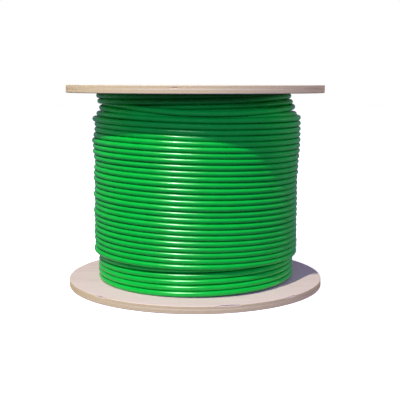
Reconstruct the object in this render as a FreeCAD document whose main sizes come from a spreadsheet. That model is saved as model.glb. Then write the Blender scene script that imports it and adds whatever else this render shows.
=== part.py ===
"""A 16 inch plywood wire spool, wound with green network cable, as a parametric assembly.

Two plywood flanges are clamped on a paperboard drum tube by four tie bolts. A moulded
bush lines the arbor hole of each flange. The cable lies on the drum in twelve layers: its
inner end leaves through a slot in the lower flange, and its outer end is stapled down.

Millimetres, +Z up. The origin is the centre of the lower flange's outer face, and +Z runs
along the arbor axis.
"""

import FreeCAD, Part
import math
import os

import Sketcher

SIZES = {
    # flanges
    "flange_diameter": 406.4,
    "flange_thickness": 12.0,
    "flange_edge_round": 1.2,
    "traverse": 293.5,
    # drum tube, seated in a ring groove in each flange
    "drum_diameter": 152.4,
    "drum_wall": 6.35,
    "drum_seat_depth": 5.0,
    "drum_seat_clearance": 0.15,
    # arbor bushes and their countersunk screws
    "bush_bore": 51.6,
    "bush_wall": 3.0,
    "bush_rim_diameter": 84.0,
    "bush_rim_thickness": 2.5,
    "bush_clearance": 0.1,
    "bush_screw_circle": 71.0,
    "screw_shank": 3.0,
    "screw_head": 6.6,
    "screw_head_height": 1.8,
    "screw_length": 9.0,
    "screw_point": 2.0,
    "screw_tip": 0.4,
    # tie bolts and the tee nuts they screw into
    "bolt_circle": 114.0,
    "bolt_diameter": 7.9,
    "bolt_hole": 8.6,
    "bolt_head_diameter": 24.0,
    "bolt_head_thickness": 2.3,
    "bolt_recess_diameter": 25.0,
    "bolt_recess_depth": 2.5,
    "tee_nut_rim_diameter": 20.0,
    "tee_nut_rim_thickness": 1.4,
    "tee_nut_recess_diameter": 20.6,
    "tee_nut_recess_depth": 1.6,
    "tee_nut_barrel": 10.0,
    "tee_nut_length": 10.0,
    "tee_nut_bore": 8.0,
    # drive pin hole
    "drive_hole": 20.0,
    "drive_hole_offset": 56.0,
    # cable and how it is wound
    "cable_diameter": 8.3,
    "cable_pitch": 8.45,
    "layer_step": 7.15,
    # slot and groove for the inner end of the cable
    "start_offset": 81.5,
    "start_groove_width": 8.5,
    "start_groove_depth": 8.6,
    "start_groove_end": 114.0,
    "start_slot_end": 62.0,
    "start_slot_lead": 3.0,
    # staples on the outer end
    "staple_wire": 1.4,
    "staple_depth": 8.0,
    "staple_clearance": 0.05,
}

FASTENER_COUNT = 4
LAYER_COUNT = 12
OUTER_LAYER_TURNS = 26
BARE_TURNS_BELOW = 5
BARE_TURNS_ABOVE = 3

# The outer end's route: degrees round the arbor axis, radius and height of each point. It
# comes out from under the last turn at the back and runs down on to the lower flange.
FINISH_ROUTE = (
    (76, 162.8, 48.2),
    (86, 163.6, 39.8),
    (97, 164.6, 30.2),
    (108, 165.8, 22.0),
    (118, 167.2, 17.3),
    (127, 168.8, 16.15),
    (137, 171.0, 16.15),
    (147, 174.0, 16.15),
)

# The inner end's route, along the start groove: distance along it and height.
START_ROUTE = (
    (-6, 16.15),
    (12, 16.15),
    (44, 4.3),
    (110, 4.3),
)

# The staples over the outer end, in degrees round the arbor axis.
STAPLE_ANGLES = (130, 141)

# A route's arc takes up this share of the shorter of the two runs it joins.
ARC_SHARE = 0.45


class Size:
    """A length that knows its value and the sheet expression that gives it."""

    def __init__(self, value, text):
        self.value = value
        self.text = text

    def __add__(self, other):
        return Size(self.value + value_of(other), f"({self.text} + {text_of(other)})")

    def __sub__(self, other):
        return Size(self.value - value_of(other), f"({self.text} - {text_of(other)})")

    def __mul__(self, factor):
        return Size(self.value * factor, f"({self.text} * {factor})")

    def __truediv__(self, factor):
        return Size(self.value / factor, f"({self.text} / {factor})")

    def __neg__(self):
        return Size(-self.value, f"(0 - {self.text})")


def value_of(length):
    return length.value if isinstance(length, Size) else float(length)


def text_of(length):
    return length.text if isinstance(length, Size) else repr(float(length))


def size(alias):
    return Size(SIZES[alias], f"Sizes.{alias}")


doc = FreeCAD.newDocument("WireSpool")


def make_sheet():
    """The driving dimensions, one aliased cell each."""
    sheet = doc.addObject("Spreadsheet::Sheet", "Sizes")
    for row, (alias, value) in enumerate(SIZES.items(), start=1):
        sheet.set(f"A{row}", alias)
        sheet.set(f"B{row}", str(value))
        sheet.setAlias(f"B{row}", alias)
    doc.recompute()


def bind(obj, **lengths):
    """Binds properties to the sheet. A double underscore in a name stands for a dot."""
    for name, length in lengths.items():
        obj.setExpression(name.replace("__", "."), text_of(length))


# ---- PartDesign helpers


def new_body(label):
    body = doc.addObject("PartDesign::Body", label)
    body.Label = label
    return body


def origin_feature(body, role):
    return next(f for f in body.Origin.OriginFeatures if f.Role == role)


def new_sketch(body, name, height=None, role="XY_Plane"):
    """A sketch on one of the body's own origin planes, raised by height."""
    sketch = body.newObject("Sketcher::SketchObject", f"{body.Name}_{name}")
    sketch.AttachmentSupport = [(origin_feature(body, role), "")]
    sketch.MapMode = "FlatFace"
    if height is not None:
        bind(sketch, AttachmentOffset__Base__z=height)
    return sketch


def constrain(sketch, length, *what):
    """Adds a dimension constraint and binds it to the sheet."""
    index = sketch.addConstraint(Sketcher.Constraint(*what, value_of(length)))
    sketch.setExpression(f"Constraints[{index}]", text_of(length))


def add_circle(sketch, diameter, x=None, y=None):
    """A circle at the origin, or at x, y."""
    centre = FreeCAD.Vector(value_of(x or 0), value_of(y or 0), 0)
    circle = sketch.addGeometry(
        Part.Circle(centre, FreeCAD.Vector(0, 0, 1), value_of(diameter) / 2)
    )
    if x is None and y is None:
        sketch.addConstraint(Sketcher.Constraint("Coincident", circle, 3, -1, 1))
    for way, place in (("DistanceX", x), ("DistanceY", y)):
        if place is not None:
            constrain(sketch, place, way, -1, 1, circle, 3)
        elif x is not None or y is not None:
            axis = {"DistanceX": -2, "DistanceY": -1}[way]
            sketch.addConstraint(Sketcher.Constraint("PointOnObject", circle, 3, axis))
    constrain(sketch, diameter, "Diameter", circle)


def add_slot(sketch, x_low, x_high, y, width):
    """A straight slot along X with round ends, from x_low to x_high over all."""
    radius = value_of(width) / 2
    left = FreeCAD.Vector(value_of(x_low) + radius, value_of(y), 0)
    right = FreeCAD.Vector(value_of(x_high) - radius, value_of(y), 0)
    up = FreeCAD.Vector(0, radius, 0)
    normal = FreeCAD.Vector(0, 0, 1)
    quarter = math.pi / 2
    left_arc = sketch.addGeometry(
        Part.ArcOfCircle(Part.Circle(left, normal, radius), quarter, 3 * quarter)
    )
    right_arc = sketch.addGeometry(
        Part.ArcOfCircle(Part.Circle(right, normal, radius), -quarter, quarter)
    )
    top = sketch.addGeometry(Part.LineSegment(left + up, right + up))
    bottom = sketch.addGeometry(Part.LineSegment(left - up, right - up))
    for joint in (
        (left_arc, 1, top, 1),
        (top, 2, right_arc, 2),
        (left_arc, 2, bottom, 1),
        (bottom, 2, right_arc, 1),
    ):
        sketch.addConstraint(Sketcher.Constraint("Tangent", *joint))
    constrain(sketch, y, "DistanceY", -1, 1, left_arc, 3)
    constrain(sketch, y, "DistanceY", -1, 1, right_arc, 3)
    constrain(sketch, x_low + width / 2, "DistanceX", -1, 1, left_arc, 3)
    constrain(sketch, x_high - width / 2, "DistanceX", -1, 1, right_arc, 3)
    constrain(sketch, width / 2, "Radius", left_arc)


def pad(body, sketch, length):
    feature = body.newObject("PartDesign::Pad", f"{sketch.Name}_pad")
    feature.Profile = sketch
    bind(feature, Length=length)
    doc.recompute()
    return feature


def pocket(body, sketch, depth, up=True):
    """Cuts depth deep, upwards from the sketch or down from it, and tests that it cut."""
    before = body.Shape.Volume
    feature = body.newObject("PartDesign::Pocket", f"{sketch.Name}_pocket")
    feature.Profile = sketch
    feature.Reversed = up
    bind(feature, Length=depth)
    doc.recompute()
    if body.Shape.Volume > before - 1.0:
        raise RuntimeError(f"{feature.Name} cuts nothing")
    return feature


def pattern_round(body, features, count=FASTENER_COUNT):
    """Repeats features round the body's own Z axis."""
    before = body.Shape.Volume
    pattern = body.newObject("PartDesign::PolarPattern", f"{features[0].Name}_pattern")
    pattern.Originals = features
    pattern.Axis = (origin_feature(body, "Z_Axis"), [""])
    pattern.Angle = 360
    pattern.Occurrences = count
    body.Tip = pattern
    doc.recompute()
    if abs(body.Shape.Volume - before) < 1.0:
        raise RuntimeError(f"{pattern.Name} adds and cuts nothing")


def stack_up(body, feature, count, pitch):
    """Repeats a feature count times up the Z axis."""
    pattern = body.newObject("PartDesign::LinearPattern", f"{feature.Name}_pattern")
    pattern.Originals = [feature]
    pattern.Direction = (origin_feature(body, "Z_Axis"), [""])
    pattern.Occurrences = count
    pattern.Length = value_of(pitch) * (count - 1)
    pattern.setExpression("Length", text_of(pitch * (count - 1)))
    body.Tip = pattern
    doc.recompute()


def round_edges(body, base, radius_of_edge, radius):
    """Rounds the base's circular edges of one radius."""
    names = [
        f"Edge{i}"
        for i, edge in enumerate(base.Shape.Edges, start=1)
        if isinstance(edge.Curve, Part.Circle)
        and abs(edge.Curve.Radius - value_of(radius_of_edge)) < 0.01
    ]
    fillet = body.newObject("PartDesign::Fillet", f"{base.Name}_round")
    fillet.Base = (base, names)
    bind(fillet, Radius=radius)
    doc.recompute()


# ---- Part helpers


def cylinder(name, diameter, height, z=0.0):
    solid = doc.addObject("Part::Cylinder", name)
    bind(solid, Radius=diameter / 2, Height=height, Placement__Base__z=z)
    return solid


def cone(name, low_diameter, high_diameter, height, z=0.0):
    solid = doc.addObject("Part::Cone", name)
    bind(solid, Radius1=low_diameter / 2, Radius2=high_diameter / 2)
    bind(solid, Height=height, Placement__Base__z=z)
    return solid


def fuse(name, pieces):
    joined = doc.addObject("Part::MultiFuse", name)
    joined.Shapes = pieces
    return joined


def cut(name, base, tool):
    rest = doc.addObject("Part::Cut", name)
    rest.Base = base
    rest.Tool = tool
    return rest


def group(label, pieces):
    """Separate solids that share one node."""
    compound = doc.addObject("Part::Compound", label)
    compound.Label = label
    compound.Links = pieces
    return compound


def circle_place(circle_diameter, index, first_angle):
    """The placement of one of the fasteners on a circle round the axis."""
    angle = first_angle + 360.0 * index / FASTENER_COUNT
    radius = value_of(circle_diameter) / 2
    x = radius * math.cos(math.radians(angle))
    y = radius * math.sin(math.radians(angle))
    return FreeCAD.Placement(FreeCAD.Vector(x, y, 0), FreeCAD.Rotation())


# ---- flanges

BOLT_ANGLE = 45.0
SCREW_ANGLE = 0.0

thickness = size("flange_thickness")
overall_width = size("traverse") + thickness * 2
top_turned_over = FreeCAD.Rotation(FreeCAD.Vector(1, 0, 0), 180)


def diagonal(circle_diameter):
    """X and Y of a point at 45 degrees on a circle."""
    return circle_diameter / 2 * math.cos(math.radians(BOLT_ANGLE))


def flange(label, recess_diameter, recess_depth, hole_diameter):
    """A plywood disc, outer face down at Z 0, with every hole that both flanges have."""
    body = new_body(label)
    outline = new_sketch(body, "outline")
    add_circle(outline, size("flange_diameter"))
    disc = pad(body, outline, thickness)
    round_edges(body, disc, size("flange_diameter") / 2, size("flange_edge_round"))

    barrel_hole = size("bush_bore") + size("bush_wall") * 2 + size("bush_clearance") * 2
    arbor = new_sketch(body, "arbor_hole")
    add_circle(arbor, barrel_hole)
    pocket(body, arbor, thickness)
    rim = new_sketch(body, "rim_recess")
    add_circle(rim, size("bush_rim_diameter") + size("bush_clearance") * 2)
    pocket(body, rim, size("bush_rim_thickness"))

    seat = new_sketch(body, "drum_seat", thickness)
    add_circle(seat, size("drum_diameter") + size("drum_seat_clearance") * 2)
    inner = size("drum_diameter") - size("drum_wall") * 2
    add_circle(seat, inner - size("drum_seat_clearance") * 2)
    pocket(body, seat, size("drum_seat_depth"), up=False)

    drive = new_sketch(body, "drive_hole")
    add_circle(drive, size("drive_hole"), x=size("drive_hole_offset"))
    pocket(body, drive, thickness)

    bolt_place = diagonal(size("bolt_circle"))
    hole = new_sketch(body, "bolt_hole")
    add_circle(hole, hole_diameter, bolt_place, bolt_place)
    hole = pocket(body, hole, thickness)
    recess = new_sketch(body, "bolt_recess")
    add_circle(recess, recess_diameter, bolt_place, bolt_place)
    recess = pocket(body, recess, recess_depth)
    pattern_round(body, [hole, recess])

    screw = new_sketch(body, "screw_hole")
    add_circle(screw, size("screw_shank"), x=size("bush_screw_circle") / 2)
    pattern_round(body, [pocket(body, screw, size("screw_length"))])
    return body


def upper_flange():
    body = flange(
        "upper_flange",
        size("tee_nut_recess_diameter"),
        size("tee_nut_recess_depth"),
        size("tee_nut_barrel"),
    )
    body.Placement = FreeCAD.Placement(FreeCAD.Vector(), top_turned_over)
    bind(body, Placement__Base__z=overall_width)
    return body


def lower_flange():
    """Also has the start slot and groove, and the staples' holes."""
    body = flange(
        "lower_flange",
        size("bolt_recess_diameter"),
        size("bolt_recess_depth"),
        size("bolt_hole"),
    )
    y = -size("start_offset")
    width = size("start_groove_width")
    slot = new_sketch(body, "start_slot")
    add_slot(slot, -size("start_slot_end"), size("start_slot_lead"), y, width)
    pocket(body, slot, thickness)
    groove = new_sketch(body, "start_groove")
    add_slot(groove, -size("start_groove_end"), size("start_slot_lead"), y, width)
    pocket(body, groove, size("start_groove_depth"))

    legs = new_sketch(body, "staple_holes", thickness)
    for angle in STAPLE_ANGLES:
        foot, across = staple_place(angle)
        for side in (-1, 1):
            out = (crown_radius() * side) * across.x + foot.x
            along = (crown_radius() * side) * across.y + foot.y
            add_circle(legs, size("staple_wire"), out, along)
    pocket(body, legs, size("staple_depth"), up=False)
    return body


# ---- drum, bushes and fasteners


def drum_tube():
    body = new_body("drum_tube")
    ring = new_sketch(body, "ring")
    add_circle(ring, size("drum_diameter"))
    add_circle(ring, size("drum_diameter") - size("drum_wall") * 2)
    pad(body, ring, size("traverse") + size("drum_seat_depth") * 2)
    bind(body, Placement__Base__z=thickness - size("drum_seat_depth"))
    return body


def arbor_bush(label, at_top):
    """A moulded rim, let into the flange's outer face, with a barrel through the flange."""
    body = new_body(label)
    rim = new_sketch(body, "rim")
    add_circle(rim, size("bush_rim_diameter"))
    pad(body, rim, size("bush_rim_thickness"))
    barrel = new_sketch(body, "barrel")
    add_circle(barrel, size("bush_bore") + size("bush_wall") * 2)
    pad(body, barrel, thickness)
    bore = new_sketch(body, "bore")
    add_circle(bore, size("bush_bore"))
    pocket(body, bore, thickness)

    shank = new_sketch(body, "screw_hole")
    add_circle(shank, size("screw_shank"), x=size("bush_screw_circle") / 2)
    shank = pocket(body, shank, size("bush_rim_thickness"))
    sink = body.newObject("PartDesign::SubtractiveCone", f"{label}_countersink")
    sink.AttachmentSupport = [(origin_feature(body, "XY_Plane"), "")]
    sink.MapMode = "FlatFace"
    bind(sink, Radius1=size("screw_head") / 2, Radius2=size("screw_shank") / 2)
    bind(sink, Height=size("screw_head_height"))
    bind(sink, AttachmentOffset__Base__x=size("bush_screw_circle") / 2)
    doc.recompute()
    pattern_round(body, [shank, sink])
    if at_top:
        body.Placement = FreeCAD.Placement(FreeCAD.Vector(), top_turned_over)
        bind(body, Placement__Base__z=overall_width)
    return body


def bush_screws(label, at_top):
    """Countersunk wood screws through a bush's rim, heads level with the outer face."""
    screws = []
    for index in range(FASTENER_COUNT):
        name = f"{label}_{index + 1}"
        head_height = size("screw_head_height")
        shank_end = size("screw_length") - size("screw_point")
        head = cone(f"{name}_head", size("screw_head"), size("screw_shank"), head_height)
        shank = cylinder(
            f"{name}_shank", size("screw_shank"), shank_end - head_height, head_height
        )
        point = cone(
            f"{name}_point", size("screw_shank"), size("screw_tip"), size("screw_point"), shank_end
        )
        screw = fuse(name, [head, shank, point])
        screw.Placement = circle_place(size("bush_screw_circle"), index, SCREW_ANGLE)
        screws.append(screw)
    screws = group(label, screws)
    if at_top:
        screws.Placement = FreeCAD.Placement(FreeCAD.Vector(), top_turned_over)
        bind(screws, Placement__Base__z=overall_width)
    return screws


def tie_bolts():
    """Flat-headed bolts, heads let into the lower flange, through both flanges."""
    bolts = []
    head_base = size("bolt_recess_depth") - size("bolt_head_thickness")
    length = overall_width - size("tee_nut_recess_depth") - size("bolt_recess_depth")
    for index in range(FASTENER_COUNT):
        name = f"tie_bolt_{index + 1}"
        head = cylinder(
            f"{name}_head", size("bolt_head_diameter"), size("bolt_head_thickness"), head_base
        )
        shank = cylinder(
            f"{name}_shank", size("bolt_diameter"), length, size("bolt_recess_depth")
        )
        bolt = fuse(name, [head, shank])
        bolt.Placement = circle_place(size("bolt_circle"), index, BOLT_ANGLE)
        bolts.append(bolt)
    return group("tie_bolts", bolts)


def tee_nuts():
    """Tee nuts let into the upper flange: a rim on its outer face, a barrel in the wood."""
    nuts = []
    rim_base = overall_width - size("tee_nut_recess_depth")
    barrel_length = size("tee_nut_length") - size("tee_nut_rim_thickness")
    for index in range(FASTENER_COUNT):
        name = f"tee_nut_{index + 1}"
        rim = cylinder(
            f"{name}_rim", size("tee_nut_rim_diameter"), size("tee_nut_rim_thickness"), rim_base
        )
        barrel = cylinder(
            f"{name}_barrel", size("tee_nut_barrel"), barrel_length, rim_base - barrel_length
        )
        bore = cylinder(
            f"{name}_bore", size("tee_nut_bore"), size("tee_nut_length"), rim_base - barrel_length
        )
        nut = cut(name, fuse(f"{name}_blank", [rim, barrel]), bore)
        nut.Placement = circle_place(size("bolt_circle"), index, BOLT_ANGLE)
        nuts.append(nut)
    return group("tee_nuts", nuts)


# ---- the cable on the drum


def layer_radius(number):
    """The radius of the cable's centre in a layer, counted from 1 at the drum."""
    first = size("drum_diameter") / 2 + size("cable_diameter") / 2
    return first + size("layer_step") * (number - 1)


def layer_top(number):
    """The radius where a layer ends and the next begins, halfway between their centres."""
    return layer_radius(number) + size("layer_step") / 2


def layer_bottom(number):
    return size("drum_diameter") / 2 if number == 1 else layer_top(number - 1)


def sleeve(body, name, inner_radius, outer_radius, base, height):
    sketch = new_sketch(body, name, base)
    add_circle(sketch, outer_radius * 2)
    add_circle(sketch, inner_radius * 2)
    return pad(body, sketch, height)


def add_half_disc(sketch, radius, x, y):
    """The half of a disc that faces +X."""
    centre = FreeCAD.Vector(x.value, y.value, 0)
    disc = Part.Circle(centre, FreeCAD.Vector(0, 0, 1), radius.value)
    arc = sketch.addGeometry(Part.ArcOfCircle(disc, -math.pi / 2, math.pi / 2))
    up = FreeCAD.Vector(0, radius.value, 0)
    chord = sketch.addGeometry(Part.LineSegment(centre - up, centre + up))
    sketch.addConstraint(Sketcher.Constraint("Coincident", arc, 1, chord, 1))
    sketch.addConstraint(Sketcher.Constraint("Coincident", arc, 2, chord, 2))
    sketch.addConstraint(Sketcher.Constraint("PointOnObject", arc, 3, chord))
    sketch.addConstraint(Sketcher.Constraint("Vertical", chord))
    constrain(sketch, x, "DistanceX", -1, 1, arc, 3)
    constrain(sketch, y, "DistanceY", -1, 1, arc, 3)
    constrain(sketch, radius, "Radius", arc)


def turns(body, name, number, lowest, count):
    """Stacked half rings of cable that stand out of a layer's sleeve."""
    sketch = new_sketch(body, name, role="XZ_Plane")
    add_half_disc(sketch, size("cable_diameter") / 2, layer_radius(number), lowest)
    ring = body.newObject("PartDesign::Revolution", f"{sketch.Name}_turn")
    ring.Profile = sketch
    ring.ReferenceAxis = (origin_feature(body, "Z_Axis"), [""])
    ring.Angle = 360
    doc.recompute()
    stack_up(body, ring, count, size("cable_pitch"))


lowest_turn = thickness + size("cable_diameter") / 2
highest_turn = thickness + size("traverse") - size("cable_diameter") / 2
outer_layer_base = thickness + size("cable_pitch") * BARE_TURNS_BELOW
outer_layer_height = size("cable_pitch") * OUTER_LAYER_TURNS


def buried_layer(number):
    """A full layer under others: a plain sleeve from flange to flange."""
    body = new_body(f"cable_layer_{number:02d}")
    inner = layer_bottom(number)
    sleeve(body, "sleeve", inner, layer_top(number), thickness, size("traverse"))
    return body


def last_full_layer(number):
    """A full layer whose turns show above and below the outer layer."""
    body = new_body(f"cable_layer_{number:02d}")
    inner = layer_bottom(number)
    sleeve(body, "core", inner, layer_radius(number), thickness, size("traverse"))
    sleeve(body, "covered", inner, layer_top(number), outer_layer_base, outer_layer_height)
    turns(body, "below", number, lowest_turn, BARE_TURNS_BELOW)
    top_start = highest_turn - size("cable_pitch") * (BARE_TURNS_ABOVE - 1)
    turns(body, "above", number, top_start, BARE_TURNS_ABOVE)
    return body


def outer_layer(number):
    """The last layer, which stops short of both flanges."""
    body = new_body(f"cable_layer_{number:02d}")
    inner = layer_bottom(number)
    sleeve(body, "core", inner, layer_radius(number), outer_layer_base, outer_layer_height)
    first_turn = outer_layer_base + size("cable_pitch") / 2
    turns(body, "turns", number, first_turn, OUTER_LAYER_TURNS)
    return body


def rounded_route(points):
    """A wire of straight runs joined by tangent arcs, and the arcs' radii."""
    edges = []
    radii = []
    start = points[0]
    for before, corner, after in zip(points, points[1:], points[2:]):
        back = before - corner
        ahead = after - corner
        trim = ARC_SHARE * min(back.Length, ahead.Length)
        half_turn = (math.pi - back.getAngle(ahead)) / 2
        radii.append(trim / math.tan(half_turn))
        back.normalize()
        ahead.normalize()
        enters = corner + back * trim
        leaves = corner + ahead * trim
        to_middle = (back + ahead).normalize()
        centre_distance = radii[-1] / math.cos(half_turn)
        middle = corner + to_middle * (centre_distance - radii[-1])
        edges.append(Part.LineSegment(start, enters).toShape())
        edges.append(Part.Arc(enters, middle, leaves).toShape())
        start = leaves
    edges.append(Part.LineSegment(start, points[-1]).toShape())
    return Part.Wire(edges), radii


def cable_along(points, label):
    """The cable's solid along a route, with its volume and radii tested and printed."""
    route, radii = rounded_route(points)
    radius = SIZES["cable_diameter"] / 2
    direction = points[1] - points[0]
    section = Part.Wire(Part.Circle(points[0], direction, radius).toShape())
    solid = route.makePipeShell([section], True, True)
    expected = math.pi * radius**2 * route.Length
    if abs(solid.Volume - expected) > 0.01 * expected:
        raise RuntimeError(f"{label} has the wrong volume")
    print(label, "is", round(route.Length, 1), "mm long; radii", [round(r, 1) for r in radii])
    return solid


def cable_start_tail():
    """The inner end: it ramps down the start slot and lies in the groove."""
    y = -SIZES["start_offset"]
    points = [FreeCAD.Vector(-along, y, height) for along, height in START_ROUTE]
    whole = cable_along(points, "cable_start_tail")
    reach = SIZES["flange_diameter"]
    corner = FreeCAD.Vector(-reach / 2, -reach / 2, 0)
    in_flange = Part.makeBox(reach, reach, SIZES["flange_thickness"], corner)
    tail = doc.addObject("Part::Feature", "cable_start_tail")
    tail.Label = "cable_start_tail"
    tail.Shape = whole.common(in_flange)
    return tail


def route_point(angle, radius, height):
    turn = math.radians(angle)
    return FreeCAD.Vector(radius * math.cos(turn), radius * math.sin(turn), height)


def cable_finish_tail():
    """The outer end: it starts just under the outer layer and runs down to the flange."""
    points = [route_point(*place) for place in FINISH_ROUTE]
    tail = doc.addObject("Part::Feature", "cable_finish_tail")
    tail.Label = "cable_finish_tail"
    tail.Shape = cable_along(points, "cable_finish_tail")
    return tail


def crown_radius():
    """The radius of a staple's crown at the middle of its wire."""
    return (size("cable_diameter") + size("staple_wire")) / 2 + size("staple_clearance")


def staple_place(angle):
    """The point of the outer end's route at an angle, and the direction across it."""
    route, _ = rounded_route([route_point(*place) for place in FINISH_ROUTE])
    far = route_point(angle, SIZES["flange_diameter"], FINISH_ROUTE[-1][2])
    near = route_point(angle, SIZES["drum_diameter"], FINISH_ROUTE[-1][2])
    crossing = route.distToShape(Part.LineSegment(near, far).toShape())
    point, info = crossing[1][0][0], crossing[2][0]
    edge = route.Edges[info[1]]
    tangent = edge.tangentAt(info[2])
    across = FreeCAD.Vector(tangent.y, -tangent.x, 0).normalize()
    return point, across


def finish_tail_staples():
    """Two round-crowned wire staples over the cable's outer end."""
    leg_length = size("staple_depth") + size("cable_diameter") / 2
    staples = []
    for index, angle in enumerate(STAPLE_ANGLES, start=1):
        foot, across = staple_place(angle)
        name = f"finish_tail_staple_{index}"
        crown = doc.addObject("Part::Torus", f"{name}_crown")
        bind(crown, Radius1=crown_radius(), Radius2=size("staple_wire") / 2)
        crown.Angle3 = 180
        crown.Placement = FreeCAD.Placement(
            FreeCAD.Vector(0, 0, 0), FreeCAD.Rotation(FreeCAD.Vector(1, 0, 0), 90)
        )
        bind(crown, Placement__Base__z=leg_length)
        pieces = [crown]
        for side in (-1, 1):
            leg_name = f"{name}_{'inner' if side < 0 else 'outer'}_leg"
            leg = cylinder(leg_name, size("staple_wire"), leg_length)
            bind(leg, Placement__Base__x=crown_radius() * side)
            pieces.append(leg)
        staple = fuse(name, pieces)
        turn = FreeCAD.Rotation(FreeCAD.Vector(1, 0, 0), across)
        staple.Placement = FreeCAD.Placement(foot, turn)
        bind(staple, Placement__Base__z=thickness - size("staple_depth"))
        staples.append(staple)
    return group("finish_tail_staples", staples)


def make_parts():
    parts = [
        lower_flange(),
        upper_flange(),
        drum_tube(),
        arbor_bush("lower_arbor_bush", at_top=False),
        arbor_bush("upper_arbor_bush", at_top=True),
        bush_screws("lower_bush_screws", at_top=False),
        bush_screws("upper_bush_screws", at_top=True),
        tie_bolts(),
        tee_nuts(),
    ]
    parts += [buried_layer(number) for number in range(1, LAYER_COUNT - 1)]
    parts += [last_full_layer(LAYER_COUNT - 1), outer_layer(LAYER_COUNT)]
    parts += [cable_start_tail(), cable_finish_tail(), finish_tail_staples()]
    return parts


def check_and_export(parts):
    doc.recompute()
    for obj in doc.Objects:
        if "Invalid" in obj.State or "Error" in obj.State:
            raise RuntimeError(f"{obj.Name} failed: {obj.State}")
    for part in parts:
        if part.Shape.isNull() or not part.Shape.isValid():
            raise RuntimeError(f"{part.Label} has no valid shape")
    os.makedirs("parts", exist_ok=True)
    for part in parts:
        part.Shape.exportStep(f"parts/{part.Label}.step")
        print(part.Label, len(part.Shape.Solids), "solids", round(part.Shape.Volume), "mm3")


make_sheet()
check_and_export(make_parts())
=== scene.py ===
import math

import bpy
import numpy as np
from mathutils import Matrix, Vector


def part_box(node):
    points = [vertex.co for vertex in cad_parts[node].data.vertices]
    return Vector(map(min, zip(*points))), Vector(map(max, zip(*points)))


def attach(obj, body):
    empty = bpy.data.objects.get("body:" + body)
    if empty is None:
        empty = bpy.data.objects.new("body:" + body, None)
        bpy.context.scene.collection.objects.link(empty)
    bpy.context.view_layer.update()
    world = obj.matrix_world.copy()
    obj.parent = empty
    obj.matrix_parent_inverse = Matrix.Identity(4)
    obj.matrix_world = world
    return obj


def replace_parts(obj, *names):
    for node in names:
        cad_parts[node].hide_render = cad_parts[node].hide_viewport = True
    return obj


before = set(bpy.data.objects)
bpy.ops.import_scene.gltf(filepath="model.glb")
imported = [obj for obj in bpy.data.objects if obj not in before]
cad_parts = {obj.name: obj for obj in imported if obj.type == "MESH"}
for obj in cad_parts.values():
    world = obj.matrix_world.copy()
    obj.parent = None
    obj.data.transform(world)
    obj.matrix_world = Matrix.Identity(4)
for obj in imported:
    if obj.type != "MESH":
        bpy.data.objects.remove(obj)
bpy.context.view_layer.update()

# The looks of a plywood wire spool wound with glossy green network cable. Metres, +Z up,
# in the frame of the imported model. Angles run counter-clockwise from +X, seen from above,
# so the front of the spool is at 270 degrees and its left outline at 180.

MM = 0.001
LEFT = 180.0
FULL_TURN = 360.0

# ---- sizes read from the frame

flange_low, flange_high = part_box("lower_flange")
INNER_FACE_LOW = flange_high.z
INNER_FACE_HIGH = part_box("upper_flange")[0].z
OVERALL_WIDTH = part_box("upper_flange")[1].z
FLANGE_THICKNESS = flange_high.z - flange_low.z
DRUM_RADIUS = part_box("drum_tube")[1].x

# ---- sizes that the CAD gives and the frame's boxes don't hold exactly

FLANGE_RADIUS = 203.2 * MM
CABLE_RADIUS = 4.15 * MM
CABLE_PITCH = 8.45 * MM
JACKET_CLEARANCE = 0.02 * MM


# ---- mesh helpers


def new_object(name, mesh):
    obj = bpy.data.objects.new(name, mesh)
    bpy.context.scene.collection.objects.link(obj)
    return obj


def mesh_object(name, vertices, faces, sharp_angle=None):
    """A smooth-shaded mesh, with edges sharper than sharp_angle degrees left sharp."""
    mesh = bpy.data.meshes.new(name)
    mesh.from_pydata(np.asarray(vertices).tolist(), [], [list(f) for f in faces])
    mesh.validate()
    mesh.shade_smooth()
    if sharp_angle is not None:
        mesh.set_sharp_from_angle(angle=math.radians(sharp_angle))
    return new_object(name, mesh)


def grid_faces(rings, sides, first=0):
    """Quads between closed rings of vertices, and the two end rings as caps."""
    ring = np.arange(rings - 1)[:, None] * sides
    side = np.arange(sides)[None, :]
    after = (side + 1) % sides
    quads = np.stack([ring + side, ring + after, ring + sides + after, ring + sides + side], -1)
    faces = (quads.reshape(-1, 4) + first).tolist()
    faces.append([first + i for i in reversed(range(sides))])
    faces.append([first + (rings - 1) * sides + i for i in range(sides)])
    return faces


def unit(vectors):
    return vectors / np.linalg.norm(vectors, axis=-1, keepdims=True)


def tube_rings(path, outward, radii, sides):
    """Vertices of a round tube along a path. outward turns each ring's first vertex."""
    tangent = unit(np.gradient(path, axis=0))
    normal = unit(outward - (outward * tangent).sum(1, keepdims=True) * tangent)
    across = np.cross(tangent, normal)
    angle = np.linspace(0, 2 * math.pi, sides, endpoint=False)
    circle = normal[:, None] * np.cos(angle)[:, None] + across[:, None] * np.sin(angle)[:, None]
    reach = np.broadcast_to(radii, (len(path), sides))[..., None]
    return (path[:, None] + circle * reach).reshape(-1, 3)


def lathe_rings(profile, segments):
    """Vertices of a (radius, height) profile turned round Z, one ring per profile point."""
    angle = np.linspace(0, 2 * math.pi, segments, endpoint=False)
    profile = np.asarray(profile)
    x = profile[:, :1] * np.cos(angle)
    y = profile[:, :1] * np.sin(angle)
    z = np.broadcast_to(profile[:, 1:], x.shape)
    return np.stack([x, y, z], -1).reshape(-1, 3)


def smooth_through(at, knots, values):
    """A smooth curve through (knots, values), as a cubic with central slopes."""
    knots = np.asarray(knots, float)
    values = np.asarray(values, float)
    slopes = np.gradient(values, knots)
    i = np.clip(np.searchsorted(knots, at) - 1, 0, len(knots) - 2)
    span = knots[i + 1] - knots[i]
    t = (at - knots[i]) / span
    return (
        (2 * t**3 - 3 * t**2 + 1) * values[i]
        + (t**3 - 2 * t**2 + t) * span * slopes[i]
        + (3 * t**2 - 2 * t**3) * values[i + 1]
        + (t**3 - t**2) * span * slopes[i + 1]
    )


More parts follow.
